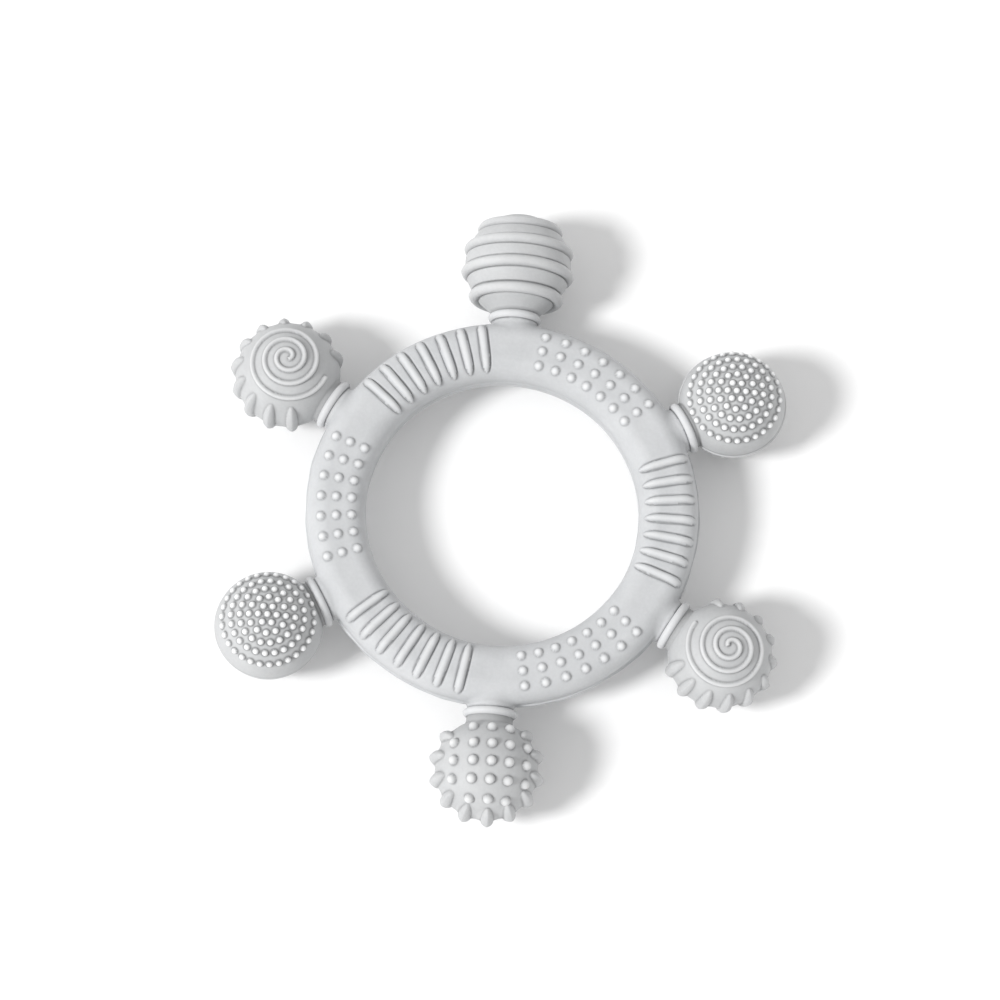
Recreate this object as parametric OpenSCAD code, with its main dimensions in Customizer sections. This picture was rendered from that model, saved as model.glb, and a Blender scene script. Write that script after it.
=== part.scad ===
// Teething ring with six textured ball heads, like a small ship's wheel.
// The hole's axis is Z and the moulding's parting plane is Z = 0.
// Heads sit every 60 degrees, counted clockwise from the banded head on +Y.

/* [Grip ring] */
// Radius from the hole's axis to the middle of the grip
ring_r = 34.3; // [33.9:0.1:34.7]
// Width of the grip, from its inner edge to its outer edge
grip_w = 12; // [11.4:0.1:12.4]
// Height of the grip
grip_h = 12; // [11.4:0.1:12.6]
// Radius that rounds the grip's four edges
grip_edge_r = 4.1; // [3.4:0.1:4.8]

/* [Grip texture] */
// Ribs in each ribbed sector
rib_count = 7; // [3:1:7]
// Angle from one rib to the next
rib_step = 6.6; // [6:0.1:6.8]
// Length of a rib across the grip
rib_len = 9.8; // [8:0.1:10.2]
// Width of a rib at its middle
rib_w = 1.9; // [1.4:0.1:2.2]
// How far a rib stands out
rib_h = 0.7; // [0.4:0.1:1]
// Columns of dots in each dotted sector
dot_cols = 7; // [3:1:7]
// Angle from one column of dots to the next
dot_step = 6.6; // [5.8:0.1:6.8]
// Radius of a dot on the grip
dot_r = 0.95; // [0.7:0.05:1.1]
// How far a dot on the grip stands out
dot_h = 0.7; // [0.4:0.05:0.7]

/* [Neck collars] */
// Distance of the collar's middle from the hole's axis
collar_at = 42.1; // [41.9:0.1:42.3]
// Thickness of the collar
collar_t = 1.7; // [1.4:0.1:2]
// Outer radius of the collar's bead
collar_r = 5.5; // [5.2:0.1:5.9]
// Radius of the neck beside the collar
neck_r = 4.7; // [4.3:0.1:4.9]

/* [Heads] */
// Distance of each head's centre from the hole's axis
head_at = 53.5; // [53:0.1:54.5]
// Radius of a dotted head
dotted_r = 11; // [10.8:0.1:11.2]
// Rings of dots round the middle dot of a dotted head
dotted_rings = 5; // [2:1:5]
// Distance from one of these rings to the next, seen from above
dotted_step = 1.85; // [1.6:0.05:1.9]
// Radius of a dot on a dotted head
dotted_dot_r = 0.65; // [0.5:0.05:0.75]
// How far a dot on a dotted head stands out
dotted_dot_h = 0.45; // [0.3:0.05:0.5]
// Radius of a swirl head
swirl_r = 10.6; // [10.3:0.1:10.9]
// Turns in the swirl
swirl_turns = 2.95; // [2:0.05:3]
// Distance from one turn of the swirl to the next
swirl_pitch = 2.5; // [2.2:0.05:2.6]
// Width of the swirl's ridge
swirl_w = 0.85; // [0.6:0.05:1]
// How far the swirl's ridge stands out
swirl_h = 0.5; // [0.3:0.05:0.7]
// Radius of the knobbed head
knobbed_r = 10.3; // [10:0.1:10.6]
// Distance between two knobs, seen from above at their roots
knob_step = 3.5; // [3.3:0.05:3.6]
// Radius of a knob
knob_r = 1.15; // [0.9:0.05:1.2]
// Fins that a full belt would have, some of which the neck leaves out
fin_places = 14; // [12:1:15]
// Height of a fin
fin_len = 10.5; // [8:0.1:11]
// Width of a fin
fin_w = 2.1; // [1.6:0.1:2.4]
// How far a fin stands out
fin_h = 1.1; // [0.7:0.1:1.4]
// Radius of the banded head's body
banded_r = 11; // [10.8:0.1:11.1]
// Radius of a band's round edge
band_edge_r = 1.15; // [1:0.05:1.2]

/* [Firm core] */
// Radius of the hoop's round section
hoop_r = 2.8; // [2.2:0.1:3]
// Outer radius of the hoop's sockets
socket_r = 3.1; // [2.8:0.1:3.4]
// Side of the square tongue that keys a stem into its socket
tongue = 3; // [2.4:0.1:3.2]
// Radius of a stem's round shaft
shaft_r = 2.2; // [2:0.1:2.4]
// Radius of the ball at a stem's end, which fills the middle of a head
ball_r = 6.2; // [5:0.1:7]

/* [Hidden] */
$fn = 72;

a = grip_w / 2;
b = grip_h / 2;
er = grip_edge_r;
collar_in = collar_at - collar_t / 2;
collar_out = collar_at + collar_t / 2;
socket_end = 39.2;
tongue_start = 35.2;
silicone = [0.845, 0.85, 0.86];
silicone_light = [0.88, 0.885, 0.89];
plastic = [0.93, 0.925, 0.91];

// Directions of the heads and of the sectors between them
at_banded = 90;
at_dotted_right = 30;
at_swirl_right = -30;
at_knobbed = -90;
at_dotted_left = -150;
at_swirl_left = 150;
rib_sectors = [120, 0, -120];
dot_sectors = [60, -60, 180];

// Distances of the three rows of dots from the middle of the grip
dot_rows = [3.2, 0.05, -3.15];

// Height of the grip's surface at a distance o from its middle
function top_z(o) = abs(o) <= a - er ? b
    : b - er + sqrt(er * er - pow(abs(o) - (a - er), 2));
// Lean of the surface there
function lean(o) = abs(o) <= a - er ? 0
    : sign(o) * asin((abs(o) - (a - er)) / er);
// A point of the swirl's edge, g away from its centreline
function swirl_pt(t, g) = let (r = swirl_pitch * (t + 70) / 360 + g) [r * cos(t), r * sin(t)];

// A lens-shaped prism along Z, len long in X and wid wide in Y
module lens(len, wid, h) {
    rho = (len * len / 4 + wid * wid / 4) / wid;
    intersection() {
        translate([0, rho - wid / 2, 0]) cylinder(r = rho, h = h, $fn = 120);
        translate([0, wid / 2 - rho, 0]) cylinder(r = rho, h = h, $fn = 120);
    }
}

// The grip's section, round-cornered, grown by g on every side
module section(g = 0) {
    union() {
        translate([ring_r, 0]) square([2 * (a - er), 2 * (b + g)], center = true);
        translate([ring_r, 0]) square([2 * (a + g), 2 * (b - er)], center = true);
        for (sx = [-1, 1], sy = [-1, 1])
            translate([ring_r + sx * (a - er), sy * (b - er)]) circle(r = er + g, $fn = 64);
    }
}

// Everything inside the ring's skin: the hoop, its sockets and the tongues
module hoop_outline() {
    rotate_extrude($fn = 120) translate([ring_r, 0]) circle(r = hoop_r, $fn = 40);
    for (k = [0:5]) rotate([0, 0, 90 - 60 * k]) translate([ring_r, 0, 0])
        rotate([0, 90, 0]) cylinder(r = socket_r, h = socket_end - ring_r, $fn = 40);
}
module tongues() {
    for (k = [0:5]) rotate([0, 0, 90 - 60 * k])
        translate([tongue_start, -tongue / 2, -tongue / 2])
            cube([collar_in + 1 - tongue_start, tongue, tongue]);
}

// The upper half of the ring's skin, which its lower half mirrors
module ring_half() {
    difference() {
        intersection() {
            union() {
                rotate_extrude($fn = 144) section();
                // tapered bosses that carry the collars
                for (k = [0:5]) rotate([0, 0, 90 - 60 * k]) translate([ring_r + 2, 0, 0])
                    rotate([0, 90, 0])
                        cylinder(r1 = 5.6, r2 = neck_r, h = collar_in - ring_r - 2, $fn = 56);
                // ribs that follow the section and narrow to a point at both ends
                intersection() {
                    rotate_extrude($fn = 144) section(rib_h);
                    for (s = rib_sectors, k = [0:rib_count - 1])
                        rotate([0, 0, s + (k - (rib_count - 1) / 2) * rib_step])
                            translate([ring_r + 0.2, 0, b - er]) lens(rib_len, rib_w, er + rib_h + 1);
                }
                // three rows of dots
                for (s = dot_sectors, k = [0:dot_cols - 1], o = dot_rows)
                    rotate([0, 0, s + (k - (dot_cols - 1) / 2) * dot_step])
                        translate([ring_r + o + (dot_h - dot_r) * sin(lean(o)), 0,
                                   top_z(o) + (dot_h - dot_r) * cos(lean(o))])
                            sphere(r = dot_r, $fn = 20);
            }
            cylinder(r = 60, h = 20);
        }
        hoop_outline();
        tongues();
    }
}

module ring_upper_shell() {
    color(silicone) ring_half();
}

module ring_lower_shell() {
    color(silicone) mirror([0, 0, 1]) ring_half();
}

// Firm hoop with six sockets that keep the stems from turning
module ring_hoop() {
    color(plastic) difference() {
        hoop_outline();
        tongues();
    }
}

// A ring bead round each neck
module collar(dir) {
    color(silicone_light) rotate([0, 0, dir]) translate([collar_at, 0, 0]) rotate([0, 90, 0])
        difference() {
            union() {
                cylinder(r = collar_r - 0.5, h = collar_t, center = true, $fn = 56);
                rotate_extrude($fn = 56) translate([collar_r - 0.75, 0]) circle(r = 0.75, $fn = 28);
            }
            cylinder(r = shaft_r, h = 4, center = true, $fn = 40);
        }
}

// A stem: square tongue, round shaft and the ball that fills a head
module stem(dir) {
    color(plastic) rotate([0, 0, dir]) union() {
        translate([tongue_start, -tongue / 2, -tongue / 2])
            cube([collar_in - tongue_start, tongue, tongue]);
        translate([collar_in, 0, 0]) rotate([0, 90, 0])
            cylinder(r = shaft_r, h = head_at - collar_in, $fn = 40);
        translate([head_at, 0, 0]) sphere(r = ball_r, $fn = 56);
    }
}

// Places a head, whose own X runs away from the hole, and hollows it for its stem
module head(dir, foot = 5) {
    color(silicone) rotate([0, 0, dir]) translate([head_at, 0, 0]) difference() {
        union() {
            children();
            translate([collar_out - head_at - 0.5, 0, 0]) rotate([0, 90, 0])
                cylinder(r = neck_r, h = foot + 0.5, $fn = 56);
        }
        // flat foot that meets the collar
        translate([collar_out - head_at - 3, 0, 0]) rotate([0, 90, 0])
            cylinder(r = neck_r + 1, h = 3, $fn = 56);
        sphere(r = ball_r, $fn = 56);
        translate([collar_out - head_at - 1, 0, 0]) rotate([0, 90, 0])
            cylinder(r = shaft_r, h = head_at - collar_out, $fn = 40);
    }
}

// Upright fins of length len round a ball of radius r, left out beside the neck
module fins(r, first, len) {
    step = 360 / fin_places;
    intersection() {
        sphere(r = r + fin_h, $fn = 96);
        for (k = [0:fin_places - 1]) if (abs((first + k * step) % 360 - 180) > 1.2 * step)
            rotate([0, 0, first + k * step]) translate([r - 3.2, 0, 0]) rotate([0, 90, 0])
                lens(len, fin_w, 6);
    }
}

// Ball with a cap of small dots above and below
module dotted(dir) {
    head(dir) union() {
        sphere(r = dotted_r, $fn = 96);
        for (m = [0, 1]) mirror([0, 0, m]) {
            translate([0, 0, dotted_r + dotted_dot_h - dotted_dot_r]) sphere(r = dotted_dot_r, $fn = 16);
            for (i = [1:dotted_rings], k = [0:6 * i - 1])
                rotate([0, asin(i * dotted_step / dotted_r), 90 + k * 60 / i])
                    translate([0, 0, dotted_r + dotted_dot_h - dotted_dot_r])
                        sphere(r = dotted_dot_r, $fn = 16);
        }
    }
}

// Ball with a spiral ridge above and below and a belt of fins
module swirl(dir, hand, start) {
    n = floor(swirl_turns * 18);
    head(dir) union() {
        sphere(r = swirl_r, $fn = 96);
        fins(swirl_r, 180, fin_len);
        for (m = [0, 1]) mirror([0, 0, m]) intersection() {
            sphere(r = swirl_r + swirl_h, $fn = 96);
            rotate([0, 0, start]) mirror([0, hand, 0]) linear_extrude(height = swirl_r + 2)
                polygon(concat([for (i = [0:n]) swirl_pt(i * 20, swirl_w / 2)],
                               [for (i = [n:-1:0]) swirl_pt(i * 20, -swirl_w / 2)]));
        }
    }
}

// Ball with a grid of round knobs above and below and a belt of fins
module knobbed(dir) {
    head(dir) union() {
        sphere(r = knobbed_r, $fn = 96);
        fins(knobbed_r, 180.3, fin_len - 2);
        for (m = [0, 1]) mirror([0, 0, m])
            for (i = [-2:2], j = [-2:2]) if (abs(i) + abs(j) < 4)
                translate([i * knob_step, j * knob_step,
                           sqrt(knobbed_r * knobbed_r - (i * i + j * j) * knob_step * knob_step)])
                    sphere(r = knob_r, $fn = 28);
    }
}

// Ball with four raised bands round its own axis, turned in one piece
module banded(dir) {
    // distance of each band from the ball's centre, and its outer radius
    bands = [[7.75, 8.85], [3.25, 11.4], [-1.7, 11.75], [-6.85, 9.85]];
    head(dir, 3) rotate([0, 90, 0]) rotate_extrude($fn = 96) union() {
        intersection() {
            translate([0, 0.25]) circle(r = banded_r, $fn = 96);
            translate([0, -20]) square([20, 40]);
        }
        polygon([[0, -10.5], [4.8, -10.5], [8.6, -7.2], [0, -7.2]]);
        for (p = bands) translate([p[1] - band_edge_r, p[0]]) circle(r = band_edge_r, $fn = 32);
    }
}

module banded_head() { banded(at_banded); }
module banded_head_collar() { collar(at_banded); }
module banded_head_stem() { stem(at_banded); }
module dotted_head_right() { dotted(at_dotted_right); }
module dotted_head_right_collar() { collar(at_dotted_right); }
module dotted_head_right_stem() { stem(at_dotted_right); }
module swirl_head_right() { swirl(at_swirl_right, 1, 155); }
module swirl_head_right_collar() { collar(at_swirl_right); }
module swirl_head_right_stem() { stem(at_swirl_right); }
module knobbed_head() { knobbed(at_knobbed); }
module knobbed_head_collar() { collar(at_knobbed); }
module knobbed_head_stem() { stem(at_knobbed); }
module dotted_head_left() { dotted(at_dotted_left); }
module dotted_head_left_collar() { collar(at_dotted_left); }
module dotted_head_left_stem() { stem(at_dotted_left); }
module swirl_head_left() { swirl(at_swirl_left, 0, 211); }
module swirl_head_left_collar() { collar(at_swirl_left); }
module swirl_head_left_stem() { stem(at_swirl_left); }

ring_upper_shell();
ring_lower_shell();
ring_hoop();
banded_head();
banded_head_collar();
banded_head_stem();
dotted_head_right();
dotted_head_right_collar();
dotted_head_right_stem();
swirl_head_right();
swirl_head_right_collar();
swirl_head_right_stem();
knobbed_head();
knobbed_head_collar();
knobbed_head_stem();
dotted_head_left();
dotted_head_left_collar();
dotted_head_left_stem();
swirl_head_left();
swirl_head_left_collar();
swirl_head_left_stem();
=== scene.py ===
import math
import bpy
import numpy as np
from mathutils import Matrix, Vector


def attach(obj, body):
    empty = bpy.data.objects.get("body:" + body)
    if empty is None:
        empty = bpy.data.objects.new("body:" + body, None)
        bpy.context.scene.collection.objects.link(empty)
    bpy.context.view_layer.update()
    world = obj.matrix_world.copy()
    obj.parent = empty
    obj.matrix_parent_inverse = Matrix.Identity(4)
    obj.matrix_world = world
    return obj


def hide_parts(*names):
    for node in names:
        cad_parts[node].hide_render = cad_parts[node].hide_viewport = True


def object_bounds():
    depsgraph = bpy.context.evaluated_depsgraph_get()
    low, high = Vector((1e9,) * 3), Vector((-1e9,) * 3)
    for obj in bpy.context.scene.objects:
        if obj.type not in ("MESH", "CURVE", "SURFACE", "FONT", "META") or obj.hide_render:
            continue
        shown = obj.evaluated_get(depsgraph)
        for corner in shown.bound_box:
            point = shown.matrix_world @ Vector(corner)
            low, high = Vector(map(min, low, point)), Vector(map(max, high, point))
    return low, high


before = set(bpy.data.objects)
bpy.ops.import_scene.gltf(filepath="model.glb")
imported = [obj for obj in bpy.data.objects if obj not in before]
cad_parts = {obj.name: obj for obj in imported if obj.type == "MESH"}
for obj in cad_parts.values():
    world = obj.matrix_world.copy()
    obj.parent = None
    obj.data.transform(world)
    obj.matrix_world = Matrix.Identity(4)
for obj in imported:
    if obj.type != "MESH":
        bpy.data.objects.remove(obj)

CAD_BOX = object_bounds()

# ---------------------------------------------------------------- sizes, in millimetres, as in the CAD
RING_R, A, B, ER = 34.3, 6.0, 6.0, 4.1
RIB_SECTORS = (120, 0, -120)
DOT_SECTORS = (60, -60, 180)
STEP = 6.63
DOT_ROWS = (3.2, 0.05, -3.15)
COLLAR_AT, COLLAR_T, COLLAR_R, NECK_R = 42.1, 1.7, 5.5, 4.7
COLLAR_IN, COLLAR_OUT = COLLAR_AT - COLLAR_T / 2, COLLAR_AT + COLLAR_T / 2
HEAD_AT = 53.5
FOOT = HEAD_AT - COLLAR_OUT
BALL_R, SHAFT_R, HOOP_R, SOCKET_R = 6.2, 2.2, 2.8, 3.1
HEADS = {
    "banded_head": 90, "dotted_head_right": 30, "swirl_head_right": -30,
    "knobbed_head": -90, "dotted_head_left": -150, "swirl_head_left": 150,
}


# ---------------------------------------------------------------- small maths
def smin(a, b, k):
    h = np.maximum(k - np.abs(a - b), 0) / k
    return np.minimum(a, b) - h * h * k * 0.25


def smax(a, b, k):
    return -smin(-a, -b, k)


def blur(a, n):
    """Mean over n cells each way on a grid whose second axis is closed."""
    for _ in range(2):
        a = sum(np.roll(a, k, 1) for k in range(-n, n + 1)) / (2 * n + 1)
        b = np.pad(a, ((n, n), (0, 0)), "edge")
        a = sum(b[k:k + len(a)] for k in range(2 * n + 1)) / (2 * n + 1)
    return a


def painted_shade_mask(t, n, depth):
    """0 on open surface, 1 at the bottom of a crease: the mask for painted shade in creases."""
    return np.clip((blur(t, n) - t) / depth, 0, 1)


def wobble(x, *terms):
    """A fixed irregular curve made of a few sines."""
    out = np.zeros_like(x)
    for n, ph, amp in terms:
        out = out + amp * np.sin(n * x + ph)
    return out


# ---------------------------------------------------------------- meshes from arrays
def build(name, verts, faces, body, replaced, mat, sharp=62, attrs=None):
    """A mesh object from points in mm and a list of face index arrays (quads or triangles)."""
    me = bpy.data.meshes.new(name)
    verts = np.asarray(verts, float) * 0.001
    me.vertices.add(len(verts))
    me.vertices.foreach_set("co", verts.astype(np.float32).ravel())
    loops = np.concatenate([f.ravel() for f in faces]).astype(np.int32)
    sizes = np.concatenate([np.full(len(f), f.shape[1]) for f in faces])
    me.loops.add(len(loops))
    me.loops.foreach_set("vertex_index", loops)
    me.polygons.add(len(sizes))
    me.polygons.foreach_set("loop_start", np.concatenate([[0], np.cumsum(sizes)[:-1]]).astype(np.int32))
    me.update(calc_edges=True)
    me.polygons.foreach_set("use_smooth", np.ones(len(sizes), bool))
    for key, values in (attrs or {}).items():
        at = me.attributes.new(key, "FLOAT", "POINT")
        at.data.foreach_set("value", np.asarray(values, np.float32))
    if sharp:
        me.set_sharp_from_angle(angle=math.radians(sharp))
    me.validate()
    o = bpy.data.objects.new(name, me)
    bpy.context.scene.collection.objects.link(o)
    o.data.materials.append(mat)
    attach(o, body)
    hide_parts(replaced)
    return o


def strip(i0, i1, n, flip=False):
    """Quads between two closed rows of n points that start at i0 and i1."""
    k = np.arange(n)
    k1 = (k + 1) % n
    q = np.stack([i0 + k, i0 + k1, i1 + k1, i1 + k], 1)
    return q[:, ::-1] if flip else q


# ---------------------------------------------------------------- grip ring
def f_section(o, z):
    qx, qz = np.abs(o) - (A - ER), np.abs(z) - (B - ER)
    return np.hypot(np.maximum(qx, 0), np.maximum(qz, 0)) + np.minimum(np.maximum(qx, qz), 0) - ER


def top_z(o):
    q = max(abs(o) - (A - ER), 0)
    return B - ER + math.sqrt(ER * ER - q * q)


def lean(o):
    q = max(abs(o) - (A - ER), 0)
    return math.copysign(math.asin(q / ER), o)


def f_ring(r, th, z):
    """The grip and the six bosses that carry the collars, blended."""
    d = np.mod(th, math.pi / 3) - math.pi / 6
    x, y = r * np.cos(d), r * np.sin(d)
    w = np.clip((COLLAR_IN - x) / (COLLAR_IN - RING_R - 2), 0, 1.3)
    # a boss spreads sideways where it runs into the grip, and stays as tall as the neck
    boss = smax(np.hypot(y * NECK_R / (NECK_R + 1.0 * w), z) - NECK_R,
                x - COLLAR_IN, 0.2)
    boss = smax(boss, RING_R + 1 - x, 1.0)
    return smin(f_section(r - RING_R, z), boss, 0.85)


def f_core(r, th, z):
    """The hoop, its sockets and the tongues, which the skin is hollow for."""
    d = np.mod(th, math.pi / 3) - math.pi / 6
    x, y = r * np.cos(d), r * np.sin(d)
    hoop = np.hypot(r - RING_R, z) - HOOP_R
    sock = np.maximum(np.hypot(y, z) - SOCKET_R, np.maximum(x - 39.2, RING_R - x))
    tong = np.maximum(np.maximum(np.abs(y), np.abs(z)) - 1.5, np.maximum(x - COLLAR_IN, 35.2 - x))
    return np.minimum(np.minimum(hoop, sock), tong)


def cast(f, th, ph, lo, hi):
    lo = np.full(th.shape, lo, float)
    hi = np.full(th.shape, hi, float)
    for _ in range(26):
        t = (lo + hi) / 2
        out = f(RING_R + t * np.cos(ph), th, t * np.sin(ph)) > 0
        hi = np.where(out, t, hi)
        lo = np.where(out, lo, t)
    return (lo + hi) / 2


def ring_skin():
    land = [0, 0.05, 0.1, 0.17, 0.27, 0.45, 0.8, 1.3]
    side = [math.atan2(z, A) for z in land]
    corner = [math.atan2(B - ER + ER * math.sin(c), A - ER + ER * math.cos(c))
              for c in np.linspace(0, math.pi / 2, 29)]
    top = [math.atan2(B, o) for o in np.linspace(A - ER, -(A - ER), 18)[1:-1]]
    half = side + corner
    phi = np.array(half + top + [math.pi - p for p in half[::-1]])
    n = 960
    theta = np.arange(n) * 2 * math.pi / n
    th, ph = np.meshgrid(theta, phi)
    t = cast(f_ring, th, ph, 2.9, 10.5)
    o, z = t * np.cos(ph), t * np.sin(ph)
    s_abs = np.where(np.abs(o) <= A - ER, np.abs(o),
                     (A - ER) + ER * np.arctan2(np.abs(o) - (A - ER), np.maximum(z - (B - ER), 1e-6)))
    s = np.sign(o) * s_abs
    # painted highlight: the tops of the ribs and dots get a paler colour, set by how far each point stands up
    raised = np.zeros_like(t)
    # ribs: leaf-shaped in plan, round on top, reaching further over the outer shoulder
    rib, crease = np.zeros_like(t), np.zeros_like(t)
    for sec in RIB_SECTORS:
        for k in range(-3, 4):
            a0 = math.radians(sec + k * STEP)
            dth = np.mod(th - a0 + math.pi, 2 * math.pi) - math.pi
            y = (RING_R + o) * dth
            u = np.clip((s - 0.3) / 5.85, -1, 1)
            # tapered towards the opening, blunt over the outer shoulder
            w = 0.9 * np.where(u > 0, np.sqrt(np.maximum(1 - u ** 6, 0)),
                               np.power(np.maximum(1 - np.abs(u) ** 3.2, 0), 0.6)) + 1e-6
            p = np.clip(1 - (y / w) ** 2, 0, 1)
            h = 0.8 * np.where(u > 0, np.power(np.maximum(1 - np.abs(u) ** 4.5, 0), 0.85),
                               np.power(np.maximum(1 - u ** 6, 0), 0.6))
            here = np.abs(dth) < 0.1
            rib = np.maximum(rib, np.where(here, h * np.power(p, 0.55), 0))
            # the crease along each side
            c = np.exp(-((np.abs(y) - w - 0.1) / 0.21) ** 2) * np.clip(1.1 - 1.1 * np.abs(u) ** 5, 0, 1) * (np.abs(u) < 1)
            crease = np.maximum(crease, np.where(here, c, 0))
    # rows of dots
    tex = t + rib - 0.3 * crease * (rib < 0.2)
    raised = np.maximum(raised, 0.45 * rib / 0.8)
    for sec in DOT_SECTORS:
        for k in range(-3, 4):
            a0 = math.radians(sec + k * STEP)
            cols = np.abs(np.mod(theta - a0 + math.pi, 2 * math.pi) - math.pi) < 0.06
            for off in DOT_ROWS:
                rd, hd = 0.95, 0.76
                cr = RING_R + off + (hd - rd) * math.sin(lean(off))
                cz = top_z(off) + (hd - rd) * math.cos(lean(off))
                d = th[:, cols] - a0
                # the dot's centre from the ray's origin, in the ray's own radial, tangential and upright axes
                vr = cr * np.cos(d) - RING_R
                vt = -cr * np.sin(d)
                uc = np.cos(ph[:, cols]) * vr + np.sin(ph[:, cols]) * cz
                disc = rd * rd - (vr * vr + vt * vt + cz * cz) + uc * uc
                hit = np.where(disc > 0, uc + np.sqrt(np.maximum(disc, 0)), -9)
                tex[:, cols] = smax(tex[:, cols], hit, 0.12)
                raised[:, cols] = np.maximum(raised[:, cols], 0.62 * np.clip((hit - t[:, cols]) / hd, 0, 1))
    x = (RING_R + o) * np.cos(np.mod(th, math.pi / 3) - math.pi / 6)
    # painted shade: darker colour in the creases and where each boss runs into its collar
    shade_painted = np.maximum(painted_shade_mask(tex, 1, 0.17), 0.8 * np.clip((x - COLLAR_IN + 0.4) / 0.4, 0, 1))
    # the thin flash that stands out along the parting line
    flash = 0.42 + wobble(th, (7, 0.4, 0.07), (17, 1.9, 0.06), (41, 0.2, 0.04))
    near = np.abs(np.mod(th, math.pi / 3) - math.pi / 6) * RING_R < 4.6
    flash = np.where(near & (ph < 1), 0.1, np.where(ph > 2, 0.3 * flash, flash))
    tex = tex + flash * np.exp(-(z / 0.13) ** 2) * (z < 1)
    # very slight unevenness of a soft moulding
    tex = tex + wobble(th, (5, 0.7, 0.03), (11, 2.1, 0.02)) + 0.02 * np.sin(3 * ph + 9 * th)
    rr = RING_R + tex * np.cos(ph)
    outer = np.stack([rr * np.cos(th), rr * np.sin(th), tex * np.sin(ph)], -1)
    phi_in = np.linspace(0, math.pi, 9)
    thi, phi2 = np.meshgrid(theta, phi_in)
    ti = cast(f_core, thi, phi2, 1.0, 8.0)
    ri = RING_R + ti * np.cos(phi2)
    inner = np.stack([ri * np.cos(thi), ri * np.sin(thi), ti * np.sin(phi2)], -1)
    return outer, inner, raised, shade_painted, n, len(phi), len(phi_in)


def make_ring(mat):
    outer, inner, raised, shade_painted, n, rows, rows_in = ring_skin()
    outer[0, :, 2] = 0
    outer[-1, :, 2] = 0
    inner[0, :, 2] = 0
    inner[-1, :, 2] = 0
    verts = np.concatenate([outer.reshape(-1, 3), inner.reshape(-1, 3)])
    painted_highlight = np.concatenate([raised.ravel(), np.zeros(rows_in * n)])
    painted_shade_per_vertex = np.concatenate([shade_painted.ravel(), np.zeros(rows_in * n)])
    base = rows * n
    for name, flip in (("ring_upper_shell", False), ("ring_lower_shell", True)):
        v = verts.copy()
        if flip:
            v[:, 2] *= -1
        faces = [strip(j * n, (j + 1) * n, n, flip) for j in range(rows - 1)]
        faces += [strip(base + j * n, base + (j + 1) * n, n, not flip) for j in range(rows_in - 1)]
        faces.append(strip(base, 0, n, flip))
        faces.append(strip((rows - 1) * n, base + (rows_in - 1) * n, n, flip))
        build(name + "_skin", v, faces, "root", name, mat,
              attrs={"painted_highlight": painted_highlight, "hollow": painted_shade_per_vertex})


# ---------------------------------------------------------------- heads
N_AROUND, N_ALONG, N_IN = 440, 198, 12


def head_rays(warp=0.0):
    end = math.pi - math.atan2(NECK_R, FOOT)
    psi = np.linspace(0, end, N_ALONG + 1)[1:]
    u = np.arange(N_AROUND) * 2 * math.pi / N_AROUND
    om = u + 0.5 * warp * np.sin(2 * u)
    om, ps = np.meshgrid(om, psi)
    return np.stack([np.cos(ps), np.sin(ps) * np.cos(om), np.sin(ps) * np.sin(om)], -1), ps, om


def neck_exit(ps):
    return np.where(np.cos(ps) < 0, NECK_R / np.maximum(np.sin(ps), 0.05), 0)


def bumps_exit(d, centres, dist, rad):
    """Where each ray leaves the nearest of a set of small balls, whose centres are dist from the middle."""
    c = np.max(d.reshape(-1, 3) @ np.asarray(centres).T, axis=1).reshape(d.shape[:2])
    disc = rad * rad - dist * dist * (1 - c * c)
    return np.where((disc > 0) & (c > 0), dist * c + np.sqrt(np.maximum(disc, 0)), 0)


def close_head(name, direction, d, t, painted_highlight, mat, depth=0.2, painted_shade_gain=1.0):
    """Joins the outer skin to the hollow for the stem and puts the head in place."""
    n, m = N_AROUND, len(t)
    outer = d * t[..., None]
    outer[-1, :, 0] = -FOOT
    tip = np.array([[t[0].mean(), 0, 0]])
    rows = [outer.reshape(-1, 3)]
    om = np.arctan2(d[-1, :, 2], d[-1, :, 1])

    def circle(x, r):
        return np.stack([np.full(n, x), r * np.cos(om), r * np.sin(om)], 1)

    rows.append(circle(-FOOT, SHAFT_R))
    start = math.atan2(SHAFT_R, math.sqrt(BALL_R ** 2 - SHAFT_R ** 2))
    for a in np.linspace(start, math.pi, N_IN + 1)[:-1]:
        rows.append(circle(-BALL_R * math.cos(a), BALL_R * math.sin(a)))
    count = m + 1 + N_IN
    verts = np.concatenate(rows + [tip, [[BALL_R, 0, 0]]])
    faces = [strip(j * n, (j + 1) * n, n) for j in range(count - 1)]
    k = np.arange(n)
    faces.append(np.stack([np.full(n, count * n), (k + 1) % n, k], 1))
    last = (count - 1) * n
    faces.append(np.stack([np.full(n, count * n + 1), last + k, last + (k + 1) % n], 1))
    a = math.radians(direction)
    x = verts[:, 0] + HEAD_AT
    world = np.stack([x * math.cos(a) - verts[:, 1] * math.sin(a),
                      x * math.sin(a) + verts[:, 1] * math.cos(a), verts[:, 2]], 1)
    at, painted_shade_per_vertex = np.zeros(len(verts)), np.zeros(len(verts))
    at[:m * n] = painted_highlight.ravel()
    # painted shade: darker colour in the creases of the texture, rising towards the neck
    shade_painted = painted_shade_gain * painted_shade_mask(t, 2, depth)
    shade_painted[-6:] = np.maximum(shade_painted[-6:], np.linspace(0.2, 0.9, 6)[:, None])
    painted_shade_per_vertex[:m * n] = shade_painted.ravel()
    return build(name + "_skin", world, [f[:, ::-1] for f in faces], "root", name, mat,
                 attrs={"painted_highlight": at, "hollow": painted_shade_per_vertex})


def parting(d, t, amp=0.14):
    """The fine raised line that the mould's two halves leave."""
    z = d[..., 2] * t
    return amp * np.exp(-(z / 0.14) ** 2)


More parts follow.
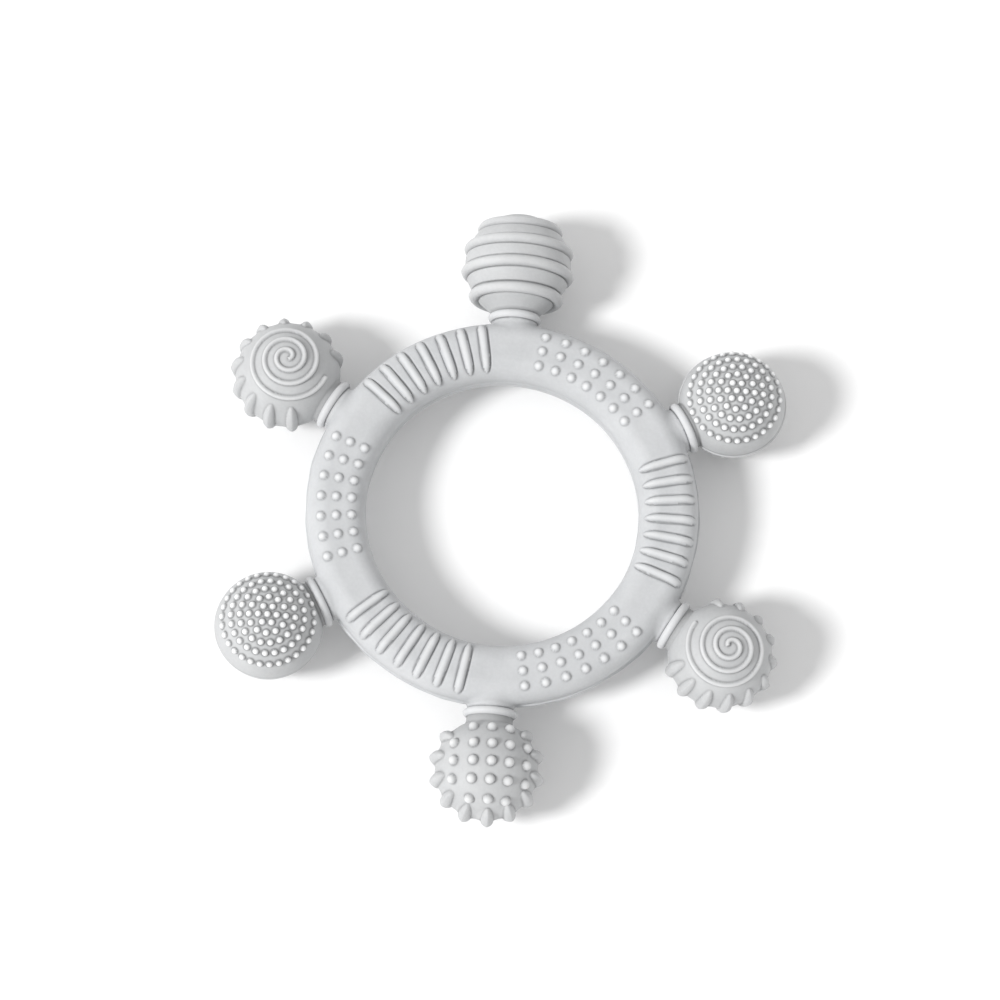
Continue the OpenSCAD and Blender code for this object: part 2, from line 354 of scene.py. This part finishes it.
def lean_to(d, r, direction, dx, dy):
    """Ray directions in a head's own texture frame, whose pole leans dx, dy mm from upright."""
    a = math.radians(direction)
    px, py = dx * math.cos(a) + dy * math.sin(a), -dx * math.sin(a) + dy * math.cos(a)
    pole = Vector((px / r, py / r, math.sqrt(1 - (px * px + py * py) / r / r)))
    m = np.array(pole.rotation_difference(Vector((0, 0, 1))).to_matrix())
    return d @ m.T


def fins(d, r, length, width, height, turn=0.0):
    """Eleven upright leaf-shaped fins, with the places beside the neck left out."""
    az = np.degrees(np.arctan2(d[..., 1], d[..., 0]))
    step = 360 / 14
    out = np.zeros(d.shape[:2])
    z = d[..., 2] * r
    rho = r * np.hypot(d[..., 0], d[..., 1])
    u = np.clip(z / (length / 2), -1, 1)
    # rounded at both ends, and wider at the root than at the crest
    w = width / 2 * np.power(np.maximum(1 - np.abs(u) ** 3, 0), 0.5) + 1e-6
    tall = height * np.power(np.maximum(1 - u ** 4, 0), 0.5)
    for k in range(-5, 6):
        y = rho * np.radians(np.mod(az - turn - k * step + 180, 360) - 180)
        q = np.abs(y) / w
        crest = np.sqrt(np.clip(1 - q ** 2, 0, 1))
        root = np.clip(1 - q / 2.1, 0, 1) ** 1.5
        out = np.maximum(out, tall * (0.62 * crest + 0.38 * root))
    return out


def make_dotted(name, direction, flash, mat):
    r, pitch, rd, hd = 11.0, 1.85, 0.68, 0.66
    d, ps, om = head_rays(0.22)
    t = smax(np.full(ps.shape, r), neck_exit(ps), 0.7)
    t = t + parting(d, t, flash)
    cs = []
    for i in range(6):
        for k in range(max(6 * i, 1)):
            a = math.radians(90 + (60 / i * k if i else 0))
            s = pitch * i / r
            for sign in (1, -1):
                cs.append((s * math.cos(a), s * math.sin(a), sign * math.sqrt(1 - s * s)))
    hit = bumps_exit(d, cs, r + hd - rd, rd)
    # painted highlight: the dots get a paler colour, set by how far they stand up
    painted_highlight = np.clip((hit - t) / hd, 0, 1)
    close_head(name, direction, d, smax(t, hit, 0.06), painted_highlight, mat, 0.1, 1.4)


def make_swirl(name, direction, hand, start, r, r0, dx, dy, mat):
    """start is the azimuth at which the spiral would leave the pole, for its outer end at 3.14 turns."""
    pitch, turns = 2.5, 3.14
    d, ps, om = head_rays()
    t = smax(np.full(ps.shape, r), neck_exit(ps), 0.7)
    e = lean_to(d, r, direction, dx, dy)
    fin = fins(e, r, 11.2, 2.4, 1.2)
    rho = r * np.hypot(e[..., 0], e[..., 1])
    az = np.arctan2(e[..., 1], e[..., 0]) - math.radians(start)
    az = np.mod(-az if hand else az, 2 * math.pi)
    flat = np.maximum(np.abs(e[..., 2]), 0.3)
    best = np.full(ps.shape, 9.0)
    for k in range(4):
        turn = az / (2 * math.pi) + k
        ridge = r0 + pitch * np.clip(turn, 0, turns)
        over = np.maximum(turn - turns, 0) * 2 * math.pi * ridge
        best = np.minimum(best, np.hypot((rho - ridge) / flat, over))
    w = 0.54
    rise = 0.62 * np.power(np.clip(1 - (best / w) ** 2, 0, 1), 0.55)
    groove = 0.17 * np.exp(-((best - w - 0.05) / 0.18) ** 2)
    body = smax(t + rise - groove * (rise < 0.1), t + fin, 0.12) - 0.03
    body = body + parting(d, t)
    # painted highlight: the spiral ridge and the fins get a paler colour
    close_head(name, direction, d, body, np.maximum(0.45 * rise / 0.62, 0.2 * fin / 1.2), mat)


def make_knobbed(name, direction, mat):
    r, step, rk = 10.3, 3.64, 1.02
    d, ps, om = head_rays()
    t = smax(np.full(ps.shape, r), neck_exit(ps), 0.7)
    e = lean_to(d, r, direction, 0.7, 0.0)
    fin = fins(d, r, 10.4, 2.5, 1.5, 4.0)
    cs = []
    for i in range(-2, 3):
        for j in range(-2, 3):
            if abs(i) + abs(j) < 4:
                for sign in (1, -1):
                    cs.append((i * step / r, j * step / r,
                               sign * math.sqrt(1 - (i * i + j * j) * step * step / r / r)))
    hit = bumps_exit(e, cs, r + 0.08, rk)
    body = smax(t + fin, hit, 0.22)
    body = body + parting(d, t)
    # painted highlight: the knobs and fins get a paler colour
    close_head(name, direction, d, body, np.maximum(0.55 * np.clip((hit - t) / rk, 0, 1), 0.15 * fin / 1.5), mat)


def make_banded(name, direction, mat):
    d, ps, om = head_rays()
    c, s = np.cos(ps), np.sin(ps)
    body = 0.25 * c + np.sqrt(11.0 ** 2 - (0.25 * s) ** 2)
    # below the last band the ball gives way to a cone, which runs straight down to the neck
    cone = np.where(ps > math.radians(129.9), 16.98 / np.maximum(s - 1.164 * c, 0.1), 0)
    t = smax(np.maximum(body, cone), neck_exit(ps), 0.1)
    bare = t.copy()
    rb = 1.15
    # each band wanders a little, as hand-finished tooling does
    for at, rad, n, ph in ((7.75, 8.85, 3, 0.3), (3.25, 11.4, 2, 1.7), (-1.7, 11.75, 3, 2.9), (-6.85, 9.85, 2, 0.8)):
        cx = at + 0.05 * np.sin(n * om + ph)
        cr = rad - rb
        uc = c * cx + s * cr
        disc = rb * rb - (cx * cx + cr * cr) + uc * uc
        hit = np.where(disc > 0, uc + np.sqrt(np.maximum(disc, 0)), 0)
        # a fine undercut crease on both sides of the band
        edge = np.abs(np.hypot(t * c - cx, t * s - cr) - rb)
        t = smax(t - 0.3 * np.exp(-(edge / 0.2) ** 2) * (hit < t), hit, 0.05)
    # painted highlight: the bands get a paler colour
    close_head(name, direction, d, t + 0.7 * parting(d, t), 0.35 * np.clip((t - bare) / 0.8, 0, 1), mat)


def make_collar(name, direction, mat):
    n = 288
    om = np.arange(n) * 2 * math.pi / n
    half, core = COLLAR_T / 2, COLLAR_R - COLLAR_T / 2
    prof = [(-half, SHAFT_R)]
    prof += [(-half, core - 0.6)]
    for b in np.linspace(-math.pi / 2, math.pi / 2, 33):
        prof.append((half * math.sin(b), core + half * math.cos(b)))
    prof += [(half, core - 0.6), (half, SHAFT_R)]
    m = len(prof)
    rows = []
    for x, r in prof:
        line = 0.1 * np.exp(-(np.sin(om) * r / 0.16) ** 2) if r > core else 0
        rows.append(np.stack([np.full(n, x), (r + line) * np.cos(om), (r + line) * np.sin(om)], 1))
    v = np.concatenate(rows)
    a = math.radians(direction)
    x = v[:, 0] + COLLAR_AT
    world = np.stack([x * math.cos(a) - v[:, 1] * math.sin(a),
                      x * math.sin(a) + v[:, 1] * math.cos(a), v[:, 2]], 1)
    faces = [strip(j * n, ((j + 1) % m) * n, n) for j in range(m)]
    # painted highlight on the bead's rounded rim, and painted shade darkening it towards the stem
    painted_highlight = np.concatenate([np.full(n, 0.4 if r > core else 0.0) for x, r in prof])
    painted_shade_per_vertex = np.concatenate([np.full(n, np.clip(1 - (r - core - 0.05) / 0.3, 0, 0.9)) for x, r in prof])
    build(name + "_bead", world, [f[:, ::-1] for f in faces], "root", name, mat,
          attrs={"painted_highlight": painted_highlight, "hollow": painted_shade_per_vertex})


# ---------------------------------------------------------------- materials
def node(nt, kind, x, y, **values):
    nd = nt.nodes.new(kind)
    nd.location = (x, y)
    for key, v in values.items():
        if hasattr(nd, key):
            setattr(nd, key, v)
        else:
            nd.inputs[key.replace("_", " ")].default_value = v
    return nd


def silicone(name, low, high, raised):
    """Matte moulded silicone: mottled body colour, painted highlight as a paler colour on raised texture, painted
    shade as a darker colour in creases, fine grain and soft roughness.
    """
    m = bpy.data.materials.new(name)
    m.use_nodes = True
    nt = m.node_tree
    nt.nodes.clear()
    out = node(nt, "ShaderNodeOutputMaterial", 900, 0)
    sh = node(nt, "ShaderNodeBsdfPrincipled", 600, 0)
    nt.links.new(sh.outputs["BSDF"], out.inputs["Surface"])
    sh.inputs["Specular IOR Level"].default_value = 0.32
    sh.inputs["IOR"].default_value = 1.41
    sh.inputs["Subsurface Weight"].default_value = 0.18
    sh.inputs["Subsurface Radius"].default_value = (1.0, 0.95, 0.9)
    sh.inputs["Subsurface Scale"].default_value = 0.0012
    co = node(nt, "ShaderNodeTexCoord", -1000, 0)
    patch = node(nt, "ShaderNodeTexNoise", -700, 300, Scale=170.0, Detail=3.0, Roughness=0.55)
    dust = node(nt, "ShaderNodeTexNoise", -700, 40, Scale=1500.0, Detail=4.0, Roughness=0.65)
    grain = node(nt, "ShaderNodeTexNoise", -700, -240, Scale=5200.0, Detail=2.0, Roughness=0.6)
    peel = node(nt, "ShaderNodeTexNoise", -700, -500, Scale=900.0, Detail=2.0, Roughness=0.5)
    for nd in (patch, dust, grain, peel):
        nt.links.new(co.outputs["Object"], nd.inputs["Vector"])
    ramp = node(nt, "ShaderNodeValToRGB", -420, 300)
    ramp.color_ramp.elements[0].position = 0.3
    ramp.color_ramp.elements[0].color = (*low, 1)
    ramp.color_ramp.elements[1].position = 0.7
    ramp.color_ramp.elements[1].color = (*high, 1)
    nt.links.new(patch.outputs["Fac"], ramp.inputs["Fac"])
    speck = node(nt, "ShaderNodeValToRGB", -420, 40)
    speck.color_ramp.elements[0].position = 0.42
    speck.color_ramp.elements[0].color = (0.965, 0.965, 0.965, 1)
    speck.color_ramp.elements[1].position = 0.62
    speck.color_ramp.elements[1].color = (1, 1, 1, 1)
    nt.links.new(dust.outputs["Fac"], speck.inputs["Fac"])
    mul = node(nt, "ShaderNodeMix", -150, 200, data_type="RGBA", blend_type="MULTIPLY")
    mul.inputs["Factor"].default_value = 1.0
    nt.links.new(ramp.outputs["Color"], mul.inputs["A"])
    nt.links.new(speck.outputs["Color"], mul.inputs["B"])
    # painted highlight: raised texture is mixed towards a paler colour
    at = node(nt, "ShaderNodeAttribute", -420, -200, attribute_name="painted_highlight")
    curve = node(nt, "ShaderNodeMapRange", -150, -80, interpolation_type="SMOOTHSTEP")
    curve.inputs["From Min"].default_value = 0.15
    curve.inputs["From Max"].default_value = 0.95
    nt.links.new(at.outputs["Fac"], curve.inputs["Value"])
    tip = node(nt, "ShaderNodeMix", 150, 150, data_type="RGBA")
    nt.links.new(curve.outputs["Result"], tip.inputs["Factor"])
    nt.links.new(mul.outputs["Result"], tip.inputs["A"])
    tip.inputs["B"].default_value = (*raised, 1)
    # painted shade: creases are mixed towards a darker body colour
    painted_shade_node = node(nt, "ShaderNodeAttribute", -420, -380, attribute_name="hollow")
    shade = node(nt, "ShaderNodeMix", 370, 150, data_type="RGBA")
    fade = node(nt, "ShaderNodeMath", -150, -380, operation="MULTIPLY")
    fade.inputs[1].default_value = 0.62
    nt.links.new(painted_shade_node.outputs["Fac"], fade.inputs[0])
    nt.links.new(fade.outputs["Value"], shade.inputs["Factor"])
    nt.links.new(tip.outputs["Result"], shade.inputs["A"])
    shade.inputs["B"].default_value = tuple(0.42 * v for v in low) + (1,)
    nt.links.new(shade.outputs["Result"], sh.inputs["Base Color"])
    rough = node(nt, "ShaderNodeMapRange", 150, -100)
    rough.inputs["To Min"].default_value = 0.5
    rough.inputs["To Max"].default_value = 0.68
    nt.links.new(dust.outputs["Fac"], rough.inputs["Value"])
    nt.links.new(rough.outputs["Result"], sh.inputs["Roughness"])
    b1 = node(nt, "ShaderNodeBump", 150, -320)
    b1.inputs["Strength"].default_value = 0.35
    b1.inputs["Distance"].default_value = 0.00006
    nt.links.new(peel.outputs["Fac"], b1.inputs["Height"])
    b2 = node(nt, "ShaderNodeBump", 370, -320)
    b2.inputs["Strength"].default_value = 0.3
    b2.inputs["Distance"].default_value = 0.00003
    nt.links.new(grain.outputs["Fac"], b2.inputs["Height"])
    nt.links.new(b1.outputs["Normal"], b2.inputs["Normal"])
    nt.links.new(b2.outputs["Normal"], sh.inputs["Normal"])
    return m


def core_plastic():
    """Natural polypropylene with a faint flow pattern, for the hidden hoop and stems."""
    m = bpy.data.materials.new("core_plastic")
    m.use_nodes = True
    nt = m.node_tree
    nt.nodes.clear()
    out = node(nt, "ShaderNodeOutputMaterial", 600, 0)
    sh = node(nt, "ShaderNodeBsdfPrincipled", 300, 0)
    nt.links.new(sh.outputs["BSDF"], out.inputs["Surface"])
    sh.inputs["Subsurface Weight"].default_value = 0.1
    sh.inputs["Subsurface Scale"].default_value = 0.002
    co = node(nt, "ShaderNodeTexCoord", -800, 0)
    flow = node(nt, "ShaderNodeTexNoise", -550, 0, Scale=220.0, Detail=3.0)
    flow.inputs["Distortion"].default_value = 1.2
    nt.links.new(co.outputs["Object"], flow.inputs["Vector"])
    ramp = node(nt, "ShaderNodeValToRGB", -280, 100)
    ramp.color_ramp.elements[0].color = (0.76, 0.75, 0.71, 1)
    ramp.color_ramp.elements[1].color = (0.87, 0.86, 0.83, 1)
    nt.links.new(flow.outputs["Fac"], ramp.inputs["Fac"])
    nt.links.new(ramp.outputs["Color"], sh.inputs["Base Color"])
    rough = node(nt, "ShaderNodeMapRange", -280, -160)
    rough.inputs["To Min"].default_value = 0.35
    rough.inputs["To Max"].default_value = 0.5
    nt.links.new(flow.outputs["Fac"], rough.inputs["Value"])
    nt.links.new(rough.outputs["Result"], sh.inputs["Roughness"])
    bump = node(nt, "ShaderNodeBump", 0, -300)
    bump.inputs["Strength"].default_value = 0.2
    bump.inputs["Distance"].default_value = 0.00005
    nt.links.new(flow.outputs["Fac"], bump.inputs["Height"])
    nt.links.new(bump.outputs["Normal"], sh.inputs["Normal"])
    return m


# ---------------------------------------------------------------- the pieces
GRIP = silicone("grip_silicone", (0.558, 0.567, 0.577), (0.606, 0.614, 0.624), (0.86, 0.865, 0.87))
SKIN = silicone("head_silicone", (0.522, 0.528, 0.534), (0.567, 0.573, 0.578), (0.87, 0.873, 0.875))
BEAD = silicone("collar_silicone", (0.585, 0.592, 0.602), (0.634, 0.64, 0.65), (0.82, 0.825, 0.83))
CORE = core_plastic()

make_ring(GRIP)
make_banded("banded_head", HEADS["banded_head"], SKIN)
make_dotted("dotted_head_right", HEADS["dotted_head_right"], 0.32, SKIN)
make_dotted("dotted_head_left", HEADS["dotted_head_left"], 0.14, SKIN)
make_swirl("swirl_head_right", HEADS["swirl_head_right"], True, 225, 10.6, 0.5, 1.35, -0.05, SKIN)
make_swirl("swirl_head_left", HEADS["swirl_head_left"], False, 141, 10.75, 0.45, 0.0, 0.9, SKIN)
make_knobbed("knobbed_head", HEADS["knobbed_head"], SKIN)
for head, direction in HEADS.items():
    make_collar(head + "_collar", direction, BEAD)
for name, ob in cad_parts.items():
    if name == "ring_hoop" or name.endswith("_stem"):
        ob.data.materials.clear()
        ob.data.materials.append(CORE)

# ---------------------------------------------------------------- floor, light and camera
scene = bpy.context.scene
floor_z = CAD_BOX[0].z
me = bpy.data.meshes.new("floor")
e = 3.0
me.from_pydata([(-e, -e, floor_z), (e, -e, floor_z), (e, e, floor_z), (-e, e, floor_z)], [], [(0, 1, 2, 3)])
floor = bpy.data.objects.new("floor", me)
scene.collection.objects.link(floor)
fm = bpy.data.materials.new("floor_paper")
fm.use_nodes = True
bs = fm.node_tree.nodes["Principled BSDF"]
bs.inputs["Roughness"].default_value = 0.9
bs.inputs["Specular IOR Level"].default_value = 0.1
bs.inputs["Base Color"].default_value = (0.95, 0.95, 0.95, 1)
me.materials.append(fm)

world = bpy.data.worlds.new("studio")
world.use_nodes = True
bg = world.node_tree.nodes["Background"]
bg.inputs["Color"].default_value = (1.0, 1.0, 1.0, 1)
bg.inputs["Strength"].default_value = 0.66
scene.world = world

key = bpy.data.lights.new("key", "SUN")
key.energy = 2.3
key.angle = math.radians(14)
key_ob = bpy.data.objects.new("key", key)
scene.collection.objects.link(key_ob)
# the light comes from the left and a little from the front, 46 degrees up
el, az = math.radians(46), math.radians(203)
towards = Vector((math.cos(el) * math.cos(az), math.cos(el) * math.sin(az), math.sin(el)))
key_ob.rotation_euler = towards.to_track_quat("Z", "Y").to_euler()

scene.view_settings.view_transform = "Standard"
scene.view_settings.look = "None"

cam = bpy.data.cameras.new("camera")
cam.lens = 144.0
cam.sensor_width = 36.0
cam_ob = bpy.data.objects.new("camera", cam)
scene.collection.objects.link(cam_ob)
rx, ry, rz = -0.24786514, 0.03214549, -0.06106101
T = Vector((0.48978998, -2.832200087, -785.3051478)) * 1.052e-3
R = Matrix.Rotation(rx, 3, "X") @ Matrix.Rotation(ry, 3, "Y") @ Matrix.Rotation(rz, 3, "Z")
place = R.transposed()
cam_ob.matrix_world = Matrix.Translation(-(place @ T)) @ place.to_4x4()
scene.camera = cam_ob

bpy.context.view_layer.update()
